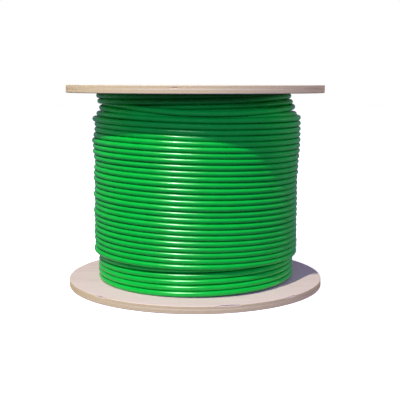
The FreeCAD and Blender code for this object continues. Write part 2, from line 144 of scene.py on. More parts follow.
def smooth_step(low, high, at):
    t = np.clip((at - low) / (high - low), 0, 1)
    return t * t * (3 - 2 * t)


def polar(degrees, radius, height):
    turn = np.radians(degrees)
    return np.stack([radius * np.cos(turn), radius * np.sin(turn), height], -1)


# ---- camera and light

CAMERA_PLACE = (0.0032, -1.3343, 0.3178)
CAMERA_TILT = 0.1373
CAMERA_YAW = 0.0033
CAMERA_ROLL = 0.0015
SENSOR = 36.0
LENS = 75.04


def add_camera():
    data = bpy.data.cameras.new("camera")
    data.sensor_width = SENSOR
    data.lens = LENS
    data.clip_start = 0.05
    data.clip_end = 50
    camera = new_object("camera", data)
    forward = Vector(
        (
            math.sin(CAMERA_YAW) * math.cos(CAMERA_TILT),
            math.cos(CAMERA_YAW) * math.cos(CAMERA_TILT),
            -math.sin(CAMERA_TILT),
        )
    )
    level = Vector((math.cos(CAMERA_YAW), -math.sin(CAMERA_YAW), 0))
    up = level.cross(forward)
    right = level * math.cos(CAMERA_ROLL) + up * math.sin(CAMERA_ROLL)
    up = right.cross(forward)
    turn = Matrix((right, up, -forward)).transposed()
    camera.matrix_world = Matrix.Translation(CAMERA_PLACE) @ turn.to_4x4()
    bpy.context.scene.camera = camera


def add_lamp(
    name, azimuth, elevation, distance, size, power, colour, mirrored=True, lights=True
):
    """A light of (width, height) aimed at the spool. Azimuth 0 is in front, + to the right."""
    data = bpy.data.lights.new(name, "AREA")
    data.shape = "ELLIPSE"
    data.size, data.size_y = size
    data.energy = power
    data.color = colour
    lamp = new_object(name, data)
    a, e = math.radians(azimuth), math.radians(elevation)
    out = Vector((math.sin(a) * math.cos(e), -math.cos(a) * math.cos(e), math.sin(e)))
    target = Vector((0, 0, OVERALL_WIDTH / 2))
    lamp.location = target + out * distance
    lamp.rotation_mode = "QUATERNION"
    lamp.rotation_quaternion = out.to_track_quat("Z", "Y")
    lamp.visible_glossy = mirrored
    lamp.visible_diffuse = lights


def background(tree, colour, strength):
    made = tree.nodes.new("ShaderNodeBackground")
    made.inputs["Color"].default_value = (*colour, 1)
    made.inputs["Strength"].default_value = strength
    return made


def add_world():
    """White to the camera, a dim violet fill for the surfaces, and a blue one in reflections."""
    world = bpy.data.worlds.new("studio")
    bpy.context.scene.world = world
    world.use_nodes = True
    tree = world.node_tree
    tree.nodes.clear()
    seen = background(tree, (1, 1, 1), 1.0)
    fill = background(tree, (0.66, 0.33, 0.95), 0.23)
    mirrored = background(tree, (0.62, 0.62, 1.0), 0.30)
    path = tree.nodes.new("ShaderNodeLightPath")
    around = tree.nodes.new("ShaderNodeMixShader")
    mix = tree.nodes.new("ShaderNodeMixShader")
    output = tree.nodes.new("ShaderNodeOutputWorld")
    tree.links.new(path.outputs["Is Glossy Ray"], around.inputs[0])
    tree.links.new(fill.outputs[0], around.inputs[1])
    tree.links.new(mirrored.outputs[0], around.inputs[2])
    tree.links.new(path.outputs["Is Camera Ray"], mix.inputs[0])
    tree.links.new(around.outputs[0], mix.inputs[1])
    tree.links.new(seen.outputs[0], mix.inputs[2])
    tree.links.new(mix.outputs[0], output.inputs["Surface"])


# ---- materials

# Where one ply meets the next, as shares of a flange's thickness, and how far a seam spreads.
PLY_EDGES = (0.135, 0.385, 0.615, 0.865)
SEAM_SPREAD = 0.015


class Shader:
    """A material under construction, with short calls for the nodes used here."""

    def __init__(self, name):
        self.material = bpy.data.materials.new(name)
        self.material.use_nodes = True
        self.tree = self.material.node_tree
        self.surface = self.tree.nodes["Principled BSDF"]
        self.place = self.tree.nodes.new("ShaderNodeTexCoord").outputs["Object"]

    def put(self, socket, value):
        if isinstance(value, bpy.types.NodeSocket):
            self.tree.links.new(value, socket)
        else:
            socket.default_value = value

    def set(self, **values):
        for name, value in values.items():
            self.put(self.surface.inputs[name.replace("_", " ")], value)

    def node(self, kind, **values):
        made = self.tree.nodes.new(f"ShaderNode{kind}")
        for name, value in values.items():
            self.put(made.inputs[name.replace("_", " ")], value)
        return made

    def stretch(self, x, y, z, shift=(0, 0, 0)):
        mapping = self.node("Mapping", Vector=self.place)
        mapping.inputs["Scale"].default_value = (x, y, z)
        mapping.inputs["Location"].default_value = shift
        return mapping.outputs[0]

    def noise(self, vector, scale, detail=4.0, roughness=0.55, distortion=0.0):
        made = self.node("TexNoise", Vector=vector, Scale=scale, Detail=detail)
        self.put(made.inputs["Roughness"], roughness)
        self.put(made.inputs["Distortion"], distortion)
        return made.outputs["Fac"]

    def math(self, operation, a, b=0.0, clamp=False):
        made = self.tree.nodes.new("ShaderNodeMath")
        made.operation = operation
        made.use_clamp = clamp
        self.put(made.inputs[0], a)
        self.put(made.inputs[1], b)
        return made.outputs[0]

    def ramp(self, fac, *stops, interpolation="LINEAR"):
        made = self.node("ValToRGB", Fac=fac)
        made.color_ramp.interpolation = interpolation
        elements = made.color_ramp.elements
        while len(elements) < len(stops):
            elements.new(0.5)
        for element, (position, colour) in zip(elements, stops):
            element.position = position
            element.color = grey(colour) if isinstance(colour, (int, float)) else (*colour, 1)
        return made.outputs["Color"]

    def mix(self, fac, a, b, blend="MIX"):
        made = self.tree.nodes.new("ShaderNodeMix")
        made.data_type = "RGBA"
        made.blend_type = blend
        self.put(made.inputs["Factor"], fac)
        self.put(made.inputs[6], a if isinstance(a, bpy.types.NodeSocket) else (*a, 1))
        self.put(made.inputs[7], b if isinstance(b, bpy.types.NodeSocket) else (*b, 1))
        return made.outputs[2]

    def bump(self, height, distance, strength=1.0):
        made = self.node("Bump", Height=height, Distance=distance, Strength=strength)
        self.put(self.surface.inputs["Normal"], made.outputs[0])
        return made


def grey(value):
    return (value, value, value, 1)


def srgb(red, green, blue):
    """A colour given as 0..255 display values, as linear values."""
    return tuple(
        c / 12.92 if c <= 0.04045 else ((c + 0.055) / 1.055) ** 2.4
        for c in (red / 255, green / 255, blue / 255)
    )


def jacket_material():
    """Glossy green PVC, with faint mottling, fine scuffs and the extruder's ripple."""
    s = Shader("green_pvc_jacket")
    mottle = s.noise(s.place, 55.0, 3.0)
    colour = s.ramp(mottle, (0.3, srgb(0, 170, 48)), (0.7, srgb(0, 178, 53)))
    scuff = s.noise(s.stretch(1, 1, 7), 160.0, 6.0, 0.7)
    scuffed = s.ramp(scuff, (0.66, 0.0), (0.8, 1.0))
    colour = s.mix(s.math("MULTIPLY", scuffed, 0.06), colour, srgb(90, 190, 110))
    gloss = s.ramp(mottle, (0.3, 0.20), (0.75, 0.25))
    rough = s.math("ADD", gloss, s.math("MULTIPLY", scuffed, 0.12))
    s.set(Base_Color=colour, Roughness=rough, IOR=1.42)
    ripple = s.noise(s.place, 420.0, 2.0)
    s.bump(ripple, 0.00003, 0.15)
    return s.material


def plywood_material(name, base, shift, tint):
    """Rotary-cut veneer on the faces, and cross-laid plies with open end grain on the edge."""
    s = Shader(name)
    split = s.node("SeparateXYZ", Vector=s.place)
    x, y, z = split.outputs
    depth = s.math("DIVIDE", s.math("SUBTRACT", z, base), FLANGE_THICKNESS)

    wander = s.noise(s.stretch(3, 9, 3, shift), 2.2, 3.0, 0.5)
    cathedral = s.noise(s.stretch(1.4, 16, 1.4, shift), 3.0, 5.0, 0.6, 1.2)
    fibre = s.noise(s.stretch(14, 420, 14, shift), 2.0, 6.0, 0.7)
    pores = s.noise(s.stretch(45, 900, 45, shift), 1.6, 2.0, 0.6)
    face = s.ramp(
        cathedral,
        (0.30, srgb(188, 171, 155)),
        (0.45, srgb(206, 190, 175)),
        (0.58, srgb(210, 195, 181)),
        (0.72, srgb(195, 177, 160)),
    )
    face = s.mix(s.math("MULTIPLY", wander, 0.6), face, tint)
    face = s.mix(s.ramp(fibre, (0.42, 0.0), (0.62, 0.22)), face, srgb(182, 160, 140))
    pore = s.ramp(pores, (0.66, 0.0), (0.72, 0.35))
    face = s.mix(pore, face, srgb(140, 112, 92))

    # Plies with their grain along X show end grain where the edge faces X.
    length = s.node("CombineXYZ", X=x, Y=y, Z=0.0).outputs[0]
    outward = s.tree.nodes.new("ShaderNodeVectorMath")
    outward.operation = "NORMALIZE"
    s.tree.links.new(length, outward.inputs[0])
    across = s.node("SeparateXYZ", Vector=outward.outputs[0]).outputs[0]
    facing_x = s.math("MULTIPLY", across, across)
    plies = [(edge, float(index % 2)) for index, edge in enumerate(PLY_EDGES)]
    ply = s.ramp(depth, (0.0, 1.0), *plies, interpolation="CONSTANT")
    end_grain = s.math("ABSOLUTE", s.math("SUBTRACT", s.math("SUBTRACT", 1.0, ply), facing_x))
    streak = s.noise(s.stretch(60, 60, 900, shift), 1.0, 4.0, 0.7)
    side = s.ramp(streak, (0.35, srgb(208, 191, 140)), (0.65, srgb(220, 206, 156)))
    speck = s.noise(s.stretch(700, 700, 700, shift), 1.0, 3.0, 0.7)
    end = s.ramp(speck, (0.35, srgb(188, 167, 114)), (0.65, srgb(211, 193, 140)))
    edge = s.mix(end_grain, side, end)
    sides_of_seam = ((-SEAM_SPREAD, 0.0), (0.0, 1.0), (SEAM_SPREAD, 0.0))
    seams = [(middle + off, value) for middle in PLY_EDGES for off, value in sides_of_seam]
    lines = s.ramp(depth, (0.0, 0.0), *seams)
    edge = s.mix(s.math("MULTIPLY", lines, 0.5), edge, srgb(120, 92, 66))

    normal = s.tree.nodes.new("ShaderNodeNewGeometry").outputs["True Normal"]
    upright = s.math("ABSOLUTE", s.node("SeparateXYZ", Vector=normal).outputs[2])
    on_face = s.ramp(upright, (0.55, 0.0), (0.85, 1.0))
    colour = s.mix(on_face, edge, face)
    s.set(Base_Color=colour, Roughness=s.ramp(fibre, (0.3, 0.62), (0.7, 0.78)), IOR=1.45)
    grain = s.math("ADD", s.math("MULTIPLY", fibre, on_face), s.math("MULTIPLY", speck, 0.8))
    s.bump(grain, 0.00018, 0.5)
    return s.material


def paperboard_material():
    """Grey-brown wound paper, with the spiral joint of its outer ply."""
    s = Shader("spiral_paperboard")
    fleck = s.noise(s.stretch(60, 60, 240), 3.0, 6.0, 0.7)
    colour = s.ramp(fleck, (0.3, srgb(138, 112, 84)), (0.7, srgb(178, 150, 118)))
    wave = s.node("TexWave", Vector=s.place, Scale=2.2, Distortion=0.4)
    wave.wave_type = "BANDS"
    wave.bands_direction = "Z"
    joint = s.ramp(wave.outputs["Fac"], (0.0, 1.0), (0.03, 0.0))
    colour = s.mix(s.math("MULTIPLY", joint, 0.6), colour, srgb(84, 66, 48))
    s.set(Base_Color=colour, Roughness=0.85)
    s.bump(fleck, 0.0002, 0.5)
    return s.material


def moulded_material():
    """Black moulded nylon with a fine spark-eroded texture."""
    s = Shader("black_moulded_nylon")
    cloud = s.noise(s.place, 40.0, 3.0)
    colour = s.ramp(cloud, (0.3, srgb(24, 24, 26)), (0.7, srgb(36, 36, 38)))
    grain = s.noise(s.place, 2600.0, 2.0)
    s.set(Base_Color=colour, Roughness=s.ramp(cloud, (0.3, 0.42), (0.7, 0.55)))
    s.bump(grain, 0.00005, 0.5)
    return s.material


def zinc_material():
    """Bright zinc plate, slightly cloudy and rubbed."""
    s = Shader("zinc_plated_steel")
    cloud = s.noise(s.place, 220.0, 4.0)
    colour = s.ramp(cloud, (0.3, srgb(176, 180, 186)), (0.7, srgb(206, 208, 210)))
    rub = s.noise(s.stretch(1, 1, 8), 900.0, 3.0)
    s.set(Base_Color=colour, Metallic=1.0, Roughness=s.ramp(cloud, (0.3, 0.26), (0.7, 0.42)))
    s.bump(rub, 0.00002, 0.4)
    return s.material


def wire_material():
    """Drawn galvanised wire."""
    s = Shader("galvanised_wire")
    cloud = s.noise(s.place, 500.0, 3.0)
    colour = s.ramp(cloud, (0.3, srgb(150, 152, 156)), (0.7, srgb(186, 188, 190)))
    s.set(Base_Color=colour, Metallic=1.0, Roughness=s.ramp(cloud, (0.3, 0.3), (0.7, 0.48)))
    s.bump(cloud, 0.00003, 0.4)
    return s.material


def copper_material():
    s = Shader("bare_copper")
    cloud = s.noise(s.place, 1800.0, 3.0)
    colour = s.ramp(cloud, (0.3, srgb(190, 108, 70)), (0.7, srgb(222, 140, 96)))
    s.set(Base_Color=colour, Metallic=1.0, Roughness=s.ramp(cloud, (0.3, 0.25), (0.7, 0.4)))
    return s.material


def insulation_material(name, colour):
    """Coloured polyethylene of one conductor."""
    s = Shader(name)
    cloud = s.noise(s.place, 1500.0, 2.0)
    dark = tuple(c * 0.85 for c in colour)
    s.set(Base_Color=s.ramp(cloud, (0.3, dark), (0.7, colour)), Roughness=0.4)
    s.bump(cloud, 0.00001, 0.3)
    return s.material


def floor_material():
    """A white sweep, lit from within so that it stays pale, which still takes a faint shadow."""
    s = Shader("white_sweep")
    soft = s.noise(s.place, 0.8, 2.0)
    colour = s.ramp(soft, (0.3, srgb(236, 236, 238)), (0.7, srgb(240, 240, 242)))
    s.set(Base_Color=colour, Roughness=0.9)
    s.set(Emission_Color=(1, 1, 1, 1), Emission_Strength=0.88)
    return s.material


# ---- floor

FLOOR_REACH = 12.0
FLOOR_GAP = 0.4 * MM


def add_floor():
    reach = FLOOR_REACH
    corners = [(-reach, -reach, 0), (reach, -reach, 0), (reach, reach, 0), (-reach, reach, 0)]
    floor = mesh_object("floor", corners, [(0, 1, 2, 3)])
    floor.location.z = -FLOOR_GAP
    floor.data.materials.append(floor_material())
    floor.visible_diffuse = False
    floor.visible_glossy = False


# ---- the cable's winding

OUTER_STEPS = 144
OUTER_SIDES = 20
UNDER_STEPS = 120
UNDER_SIDES = 16
INNER_STEPS = 72
INNER_SIDES = 12
PAIR_LAY = 110 * MM

# The outer layer: 26 turns that run down, dropping mostly across the front.
OUTER_TURNS = 26
FIRST_TURN_HEIGHT = 270.3 * MM
LAST_TURN_HEIGHT = 57.4 * MM
OUTER_RADIUS = 158.8 * MM
OUTER_RIGHT_RADIUS = 159.4 * MM
RIGHT_BULGE = 3.6 * MM

# How far each of the top turns stands in or out on the left, from OUTER_RADIUS, in mm.
LEFT_STEPS = (-6.0, 0.0, -3.0, -2.8, -1.2, 1.2, 0.1, 0.3, -1.2, -2.6)

# The uneven turns under the upper flange, as (degrees, height, radius) in mm. They start
# where the layer below ends, dive under its last two turns at the back, and come out on the
# left to become the outer layer.
CROSSING = (
    (360, 301.0, 138.7), (405, 299.5, 138.6), (450, 295.5, 139.5), (495, 291.0, 141.0),
    (540, 288.6, 142.0), (570, 288.0, 144.2), (585, 286.3, 146.5), (600, 283.1, 151.6),
    (615, 279.4, 156.0), (630, 277.6, 157.2), (645, 277.0, 157.4), (660, 278.0, 157.2),
    (675, 280.0, 156.5), (690, 282.2, 155.3), (720, 284.5, 153.6), (810, 284.0, 150.6),
    (900, 283.1, 147.6), (930, 280.6, 149.4), (945, 278.1, 150.0), (960, 275.5, 150.0),
    (975, 274.2, 150.0), (990, 273.2, 150.4), (1005, 272.5, 150.8), (1035, 273.0, 154.0),
    (1080, 272.9, 156.6), (1170, 272.9, 155.6), (1260, 272.8, 152.8),
)

# How the last turn eases down the back to the outer end: degrees past the right, height and
# radius in mm.
LAST_EASE = ((25, 55.6, 159.6), (45, 54.7, 160.3), (62, 53.2, 161.8))

# The layer below runs up. Where it begins it climbs to its own radius, as (degrees, radius in
# mm). Thirty turns on it becomes uneven, as (turn, degrees, height, radius) with the lengths
# in mm. A turn starts at the left, at 180 degrees.
FIRST_CLIMB = ((0, 144.4), (90, 146.2), (135, 148.2), (180, 151.3), (230, 151.6))
UNDER_PITCH = 8.371 * MM
UNDER_TOP = (
    (30, 180, 267.0, 149.0), (30, 270, 271.5, 149.0), (30, 360, 275.2, 148.0),
    (30, 450, 275.2, 146.0),
    (31, 180, 275.0, 144.0), (31, 270, 280.0, 143.6), (31, 360, 283.5, 145.0),
    (31, 450, 283.3, 141.0),
    (32, 180, 283.0, 136.0), (32, 210, 283.9, 137.0), (32, 225, 284.5, 138.5),
    (32, 240, 285.2, 142.3), (32, 255, 286.0, 145.5), (32, 270, 286.7, 146.5),
    (32, 285, 287.7, 146.9), (32, 300, 288.3, 147.4), (32, 315, 289.6, 148.0),
    (32, 330, 290.9, 149.0), (32, 345, 291.7, 149.9), (32, 360, 291.9, 150.2),
    (32, 450, 292.1, 150.5),
    (33, 180, 292.5, 150.6), (33, 225, 293.1, 151.0), (33, 255, 293.4, 151.3),
    (33, 270, 294.0, 151.4), (33, 285, 295.2, 151.3), (33, 300, 296.3, 150.8),
    (33, 315, 298.2, 149.9), (33, 330, 299.7, 148.8), (33, 345, 300.5, 147.7),
    (33, 360, 300.8, 147.0), (33, 450, 301.2, 149.8),
    (34, 180, 301.2, 152.8), (34, 225, 301.3, 151.8), (34, 270, 301.3, 147.5),
    (34, 300, 301.3, 144.0), (34, 330, 301.2, 140.5), (34, 360, 301.0, 138.7),
)

# The plain layer that shows only in the gaps of those over it.
INNER_RADIUS = 144.0 * MM
INNER_TOP = 262 * MM

# The outer end's route, as in the CAD: degrees round the axis, radius and height, in mm.
FINISH_ROUTE = (
    (76, 162.8, 48.2),
    (86, 163.6, 39.8),
    (97, 164.6, 30.2),
    (108, 165.8, 22.0),
    (118, 167.2, 17.3),
    (127, 168.8, 16.15),
    (137, 171.0, 16.15),
    (147, 174.0, 16.15),
)

# The inner end's route, as in the CAD: distance along the start groove and height, in mm.
START_OFFSET = 81.5 * MM
START_ROUTE = (
    (-6, 16.15),
    (12, 16.15),
    (44, 4.3),
    (110, 4.3),
)


def uneven(degrees, size, pitch, seed):
    """A smooth random wander along the cable, in metres."""
    maker = np.random.default_rng(seed)
    knots = np.arange(degrees.min() - pitch, degrees.max() + 3 * pitch, pitch)
    return smooth_through(degrees, knots, maker.normal(0, size, len(knots)))


def outer_left_radius(turn):
    """The radius at the left of each turn of the outer layer."""
    maker = np.random.default_rng(11)
    lower = list(maker.uniform(-1.8, 0.2, OUTER_TURNS + 2 - len(LEFT_STEPS)))
    return OUTER_RADIUS + np.array([*LEFT_STEPS, *lower])[turn] * MM


def outer_right_radius(turn):
    """The radius at the right, where the upper turns bulge."""
    return OUTER_RIGHT_RADIUS + RIGHT_BULGE * (1 - smooth_step(4, 12, turn))


def outer_drop(turn):
    """How far a turn drops across the front."""
    grown = 6.3 * MM + 1.1 * MM * smooth_step(0, 3, turn)
    return grown - 3.4 * MM * smooth_step(18, 25, turn)


def outer_middle(turn):
    """The height of a turn's middle. The turns are evenly spaced."""
    step = (FIRST_TURN_HEIGHT - LAST_TURN_HEIGHT) / (OUTER_TURNS - 1)
    return FIRST_TURN_HEIGHT - step * turn


def outer_turns(degrees):
    """Height and radius along the regular turns. Degrees count from the first turn's left."""
    turn = np.floor(degrees / FULL_TURN).astype(int)
    local = degrees - turn * FULL_TURN
    fall_end = 110 + 45 * smooth_step(0, 7, turn)
    fall = smooth_step(12, fall_end, local)
    left = outer_middle(turn) + outer_drop(turn) / 2
    right = outer_middle(turn) - outer_drop(turn) / 2
    next_left = outer_middle(turn + 1) + outer_drop(turn + 1) / 2
    behind = smooth_step(180, 360, local)
    across_front = left + (right - left) * fall
    across_back = right + (next_left - right) * behind
    height = np.where(local < 180, across_front, across_back)
    front_share = (1 - np.cos(np.radians(local))) / 2
    left_radius = outer_left_radius(turn)
    right_radius = outer_right_radius(turn)
    next_radius = outer_left_radius(turn + 1)
    radius = np.where(
        local < 180,
        left_radius + (right_radius - left_radius) * front_share,
        next_radius + (right_radius - next_radius) * front_share,
    )
    return height, radius


def soften(values, reach):
    """A moving average over reach samples each way, which keeps the ends."""
    padded = np.concatenate([np.full(reach, values[0]), values, np.full(reach, values[-1])])
    window = np.ones(2 * reach + 1) / (2 * reach + 1)
    return np.convolve(padded, window, mode="valid")


def outer_layer_path():
    """The whole outer layer, from the crossing turns down to where the outer end begins."""
    step = FULL_TURN / OUTER_STEPS
    start = CROSSING[0][0]
    join = CROSSING[-1][0]
    crossing = np.array(CROSSING, float)
    before = np.arange(start, join, step)
    height = smooth_through(before, crossing[:, 0], crossing[:, 1] * MM)
    radius = smooth_through(before, crossing[:, 0], crossing[:, 2] * MM)

    # The last turn's right end is half a turn on; from there the cable eases down the back.
    last_right = (OUTER_TURNS - 1) * FULL_TURN + 180
    regular = np.arange(0, last_right, step)
    regular_height, regular_radius = outer_turns(regular)

    end_at, end_radius, end_height = FINISH_ROUTE[0]
    left_height, left_radius = outer_turns(np.array([last_right - step]))
    ease = np.arange(last_right, last_right + end_at + step / 2, step)
    knots = [last_right - step, *[last_right + at for at, _, _ in LAST_EASE], last_right + end_at]
    heights = [left_height[0], *[z * MM for _, z, _ in LAST_EASE], end_height * MM]
    radii = [left_radius[0], *[r * MM for _, _, r in LAST_EASE], end_radius * MM]
    ease_height = smooth_through(ease, knots, heights)
    ease_radius = smooth_through(ease, knots, radii)
    ease[-1] = last_right + end_at

    degrees = np.concatenate([before, regular + join, ease + join])
    height = np.concatenate([height, regular_height, ease_height])
    radius = np.concatenate([radius, regular_radius, ease_radius])
    height[1:-8] = soften(height, 3)[1:-8]
    radius[1:-8] = soften(radius, 3)[1:-8]
    fade = smooth_step(start, start + 40, degrees)
    fade = fade * smooth_step(degrees[-1], degrees[-1] - 40, degrees)
    radius = radius + uneven(degrees, 0.16 * MM, 26, 3) * fade
    height = height + uneven(degrees, 0.10 * MM, 34, 5) * fade
    return degrees, height, radius


def under_layer_path():
    """The layer below: up from the lower flange to the turns under the upper one."""
    step = FULL_TURN / UNDER_STEPS
    top = np.array([(turn * FULL_TURN + at, z, r) for turn, at, z, r in UNDER_TOP], float)
    join = top[0, 0]
    degrees = np.arange(0.0, join, step)
    turn = np.maximum(np.floor((degrees - LEFT) / FULL_TURN), 0)
    local = degrees - LEFT - turn * FULL_TURN
    rise = (4.6 + 3.4 * smooth_step(5, 28, turn)) * MM
    # The first four turns lie loose at the front: further out, and a little lower.
    loose = np.clip(1 - turn / 4, 0, 1) * np.where(local < 180, np.sin(np.radians(local)) ** 2, 0)
    lowest = INNER_FACE_LOW + CABLE_RADIUS
    highest = INNER_FACE_HIGH - CABLE_RADIUS
    left = lowest + UNDER_PITCH * turn
    front = smooth_step(5, 175, local) * rise
    behind = smooth_step(180, 360, local) * (UNDER_PITCH - rise)
    height = left + front + behind - 1.3 * MM * loose
    height = np.where(degrees < LEFT, lowest, height)
    share = (1 - np.cos(np.radians(local))) / 2
    bulge = 3.0 * MM * smooth_step(12, 20, turn)
    low_down = 1 - smooth_step(3, 7, turn)
    left_radius = 150.6 * MM + 0.9 * MM * low_down
    right_radius = 152.3 * MM + 1.3 * MM * low_down + bulge
    radius = left_radius + (right_radius - left_radius) * share + 4.5 * MM * loose
    climb_at, climb_radius = np.array(FIRST_CLIMB, float).T
    climb = smooth_through(degrees, climb_at, climb_radius * MM)
    radius = np.where(degrees < LEFT, climb, radius)

    upper = np.arange(join, top[-1, 0] + step / 2, step)
    height = np.concatenate([height, smooth_through(upper, top[:, 0], top[:, 1] * MM)])
    radius = np.concatenate([radius, smooth_through(upper, top[:, 0], top[:, 2] * MM)])
    degrees = np.concatenate([degrees, upper])
    height[1:-4] = soften(height, 3)[1:-4]
    radius[1:-4] = soften(radius, 3)[1:-4]
    height = np.clip(height + uneven(degrees, 0.10 * MM, 34, 15), lowest, highest)
    radius = radius + uneven(degrees, 0.14 * MM, 26, 13)
    return degrees, height, radius


def cable_radii(degrees, radius, sides):
    """The jacket's radius, which shows the twisted pairs inside it very slightly."""
    along = np.cumsum(np.gradient(np.radians(degrees)) * radius)
    angle = np.linspace(0, 2 * math.pi, sides, endpoint=False)
    lay = 2 * math.pi * along[:, None] / PAIR_LAY
    return CABLE_RADIUS - JACKET_CLEARANCE + 0.008 * MM * np.cos(4 * (angle[None, :] - lay))


def cable_mesh(name, degrees, height, radius, sides):
    path = polar(degrees, radius, height)
    outward = polar(degrees, np.ones_like(radius), np.zeros_like(radius))
    vertices = tube_rings(path, outward, cable_radii(degrees, radius, sides), sides)
    return mesh_object(name, vertices, grid_faces(len(path), sides), 60)


def inner_layer_path():
    """A plain helix up from the lower flange, to under the uneven turns."""
    low = INNER_FACE_LOW + CABLE_RADIUS
    turns = (INNER_TOP - low) / CABLE_PITCH
    degrees = np.arange(0, turns * FULL_TURN, FULL_TURN / INNER_STEPS)
    height = low + degrees / FULL_TURN * CABLE_PITCH
    return degrees, height, np.full_like(degrees, INNER_RADIUS)


def finish(piece, material):
    """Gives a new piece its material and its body."""
    piece.data.materials.clear()
    piece.data.materials.append(material)
    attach(piece, "root")
    return piece


def nurbs_path(name, points):
    """A smooth curve with those control points, and the points along it."""
    data = bpy.data.curves.new(name, "CURVE")
    data.dimensions = "3D"
    data.resolution_u = 24
    spline = data.splines.new("NURBS")
    spline.points.add(len(points) - 1)
    for point, place in zip(spline.points, points):
        point.co = (*place, 1)
    spline.order_u = 3
    spline.use_endpoint_u = True
    curve = new_object(name, data)
    bpy.context.view_layer.update()
    graph = bpy.context.evaluated_depsgraph_get()
    mesh = bpy.data.meshes.new_from_object(curve.evaluated_get(graph))
    path = np.array([vertex.co for vertex in mesh.vertices])
    bpy.data.meshes.remove(mesh)
    bpy.data.objects.remove(curve)
    return path


def carried_normals(path, first):
    """Directions across a path, turned as little as possible from first."""
    tangent = unit(np.gradient(path, axis=0))
    normals = [np.asarray(first, float)]
    for direction in tangent[1:]:
        flat = normals[-1] - normals[-1].dot(direction) * direction
        normals.append(flat / np.linalg.norm(flat))
    return np.array(normals)


def make_winding(jacket):
    """The three layers that show, each as one long tube."""
    layers = (
        ("cable_outer_layer", outer_layer_path(), OUTER_SIDES, "cable_layer_12"),
        ("cable_under_layer", under_layer_path(), UNDER_SIDES, "cable_layer_11"),
        ("cable_inner_layer", inner_layer_path(), INNER_SIDES, "cable_layer_10"),
    )
    for name, path, sides, node in layers:
        piece = cable_mesh(name, *path, sides)
        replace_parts(finish(piece, jacket), node)


def cable_tail(name, path, first_normal, jacket):
    """An end of the cable: the jacket tube, open and hollow at the cut."""
    normals = carried_normals(path, first_normal)
    rings = tube_rings(path, normals, CABLE_RADIUS - JACKET_CLEARANCE, OUTER_SIDES)
    bore_radius = CABLE_RADIUS - 0.75 * MM
    depth = 3.0 * MM
    tangent = unit(path[-1] - path[-2])
    lip = path[-1] + tangent * 0.15 * MM
    inside = np.array([lip, path[-1], path[-1] - tangent * depth])
    inner_radii = np.array([[CABLE_RADIUS - 0.25 * MM], [bore_radius], [bore_radius]])
    angle = np.linspace(0, 2 * math.pi, OUTER_SIDES, endpoint=False)
    across = np.cross(tangent, normals[-1])
    circle = normals[-1] * np.cos(angle)[:, None] + across * np.sin(angle)[:, None]
    bore = (inside[:, None] + circle[None] * inner_radii[..., None]).reshape(-1, 3)
    vertices = np.concatenate([rings, bore])
    piece = mesh_object(name, vertices, grid_faces(len(path) + len(inside), OUTER_SIDES), 40)
    return finish(piece, jacket)


PAIR_COLOURS = {
    "blue": srgb(30, 80, 190),
    "orange": srgb(235, 120, 30),
    "green": srgb(30, 150, 70),
    "brown": srgb(120, 70, 40),
}


def straight_rod(name, line, normal, radius, sides):
    """A closed rod along a nearly straight line of points."""
    vertices = tube_rings(line, np.repeat(normal[None], len(line), 0), radius, sides)
    return mesh_object(name, vertices, grid_faces(len(line), sides), 50)


def make_conductors(name, path, first_normal):
    """The four twisted pairs at a cut end: a coloured and a white conductor in each."""
    normal = carried_normals(path, first_normal)[-1]
    tangent = unit(path[-1] - path[-2])
    side = np.cross(tangent, normal)
    white = insulation_material(f"{name}_white", srgb(225, 225, 222))
    copper = copper_material()
    pair_ring = 1.75 * MM
    pair_lay = 9 * MM
    along = np.linspace(-4.0 * MM, -0.3 * MM, 8)[:, None]
    for index, (word, colour) in enumerate(PAIR_COLOURS.items()):
        at = math.pi / 4 + index * math.pi / 2
        centre = path[-1] + (normal * math.cos(at) + side * math.sin(at)) * pair_ring
        dyed = insulation_material(f"{name}_{word}", colour)
        for half, paint in enumerate((dyed, white)):
            label = f"{name}_{word}_{half + 1}"
            turn = at + math.pi / 3 + half * math.pi
            twist = turn + along[:, 0] / pair_lay * 2 * math.pi
            round_pair = normal * np.cos(twist)[:, None] + side * np.sin(twist)[:, None]
            strand = centre + tangent * along + round_pair * 0.62 * MM
            finish(straight_rod(label, strand, normal, 0.56 * MM, 12), paint)
            wire = np.stack([strand[-1] - tangent * 1.0 * MM, strand[-1] + tangent * 0.25 * MM])
            core = straight_rod(f"{label}_wire", wire, normal, 0.29 * MM, 10)
            finish(core, copper)


def make_tails(jacket):
    """The cable's outer end, and its inner end in the start groove."""
    points = polar(*np.array(FINISH_ROUTE, float).T * np.array([[1], [MM], [MM]]))
    path = nurbs_path("finish_route", points)
    first = points[0] * (1, 1, 0) / np.linalg.norm(points[0][:2])
    tail = cable_tail("cable_outer_end", path, first, jacket)
    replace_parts(tail, "cable_finish_tail")
    make_conductors("outer_end", path, first)

    points = [(-along * MM, -START_OFFSET, height * MM) for along, height in START_ROUTE]
    path = nurbs_path("start_route", points)
    tail = cable_tail("cable_inner_end", path, (0, -1, 0), jacket)
    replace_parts(tail, "cable_start_tail")
    make_conductors("inner_end", path, (0, -1, 0))


# ---- flanges

RIM_SEGMENTS = 540
RIM_ROWS = 31
EDGE_ROUND = 1.2 * MM

# The flanges' recessed holes, in mm: the recess's radius and depth, and the hole's radius.
BUSH_HOLE = (42.1, 2.5, 28.9)
BOLT_HOLE = (12.5, 2.5, 4.3)
NUT_HOLE = (10.3, 1.6, 5.0)
RECESS_LEAD = 0.4
DRIVE_HOLE_RADIUS = 10.0
DRIVE_HOLE_LEAD = 0.45
DRIVE_HOLE_PLACE = (56 * MM, 0)

# The start slot goes through the lower flange, and the groove runs on from it underneath.
SLOT_WIDTH = 8.5 * MM
SLOT_START = 3 * MM
SLOT_END = -62 * MM
GROOVE_END = -114 * MM
GROOVE_DEPTH = 8.6 * MM
SLOT_TOP = 13 * MM

